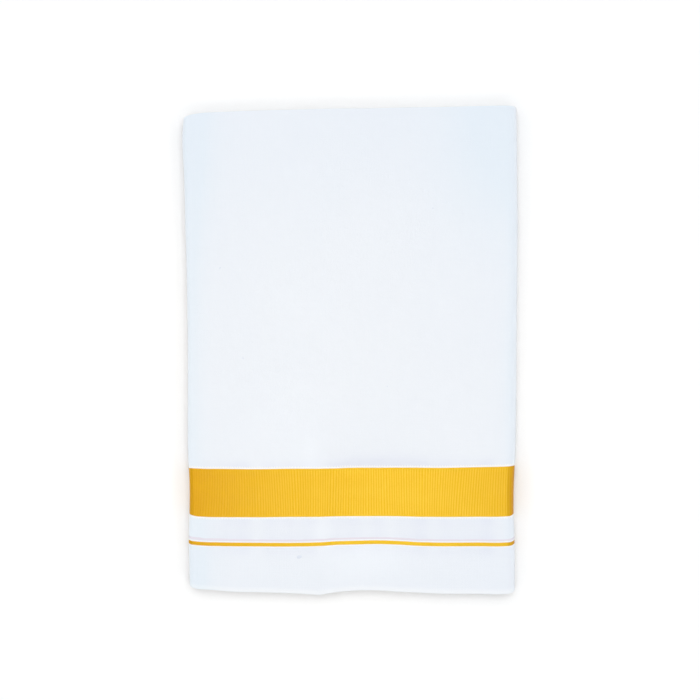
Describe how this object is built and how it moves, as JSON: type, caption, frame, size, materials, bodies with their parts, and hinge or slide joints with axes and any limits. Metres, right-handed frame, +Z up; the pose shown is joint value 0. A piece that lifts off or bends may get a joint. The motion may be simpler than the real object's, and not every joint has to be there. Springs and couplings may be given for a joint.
{
  "type": "folded dhoti cloth",
  "caption": "White cotton dhoti folded flat into an oblong pack, with a broad ribbed gold border and a thin gold line near its selvage edge.",
  "frame": {"origin": "middle of the flat underside, on the surface that the pack rests on", "axes": "+Z up, +Y from the open selvage edge with the gold border to the folded edge, +X from the turned end to the spine"},
  "size_m": [0.2902, 0.4225, 0.0203],
  "materials": {
    "white_cotton": "fine plain weave, matt, bleached white",
    "gold_border": "ribbed weave of gold yarn, soft sheen",
    "inner_cotton": "folded edges of the same white cotton, matt"
  },
  "bodies": {
    "root": {"field_cloth": "white_cotton", "gold_band": "gold_border", "gap_cloth": "white_cotton", "gold_line": "gold_border", "margin_cloth": "white_cotton", "folded_layers": "inner_cotton"}
  },
  "joints": []
}
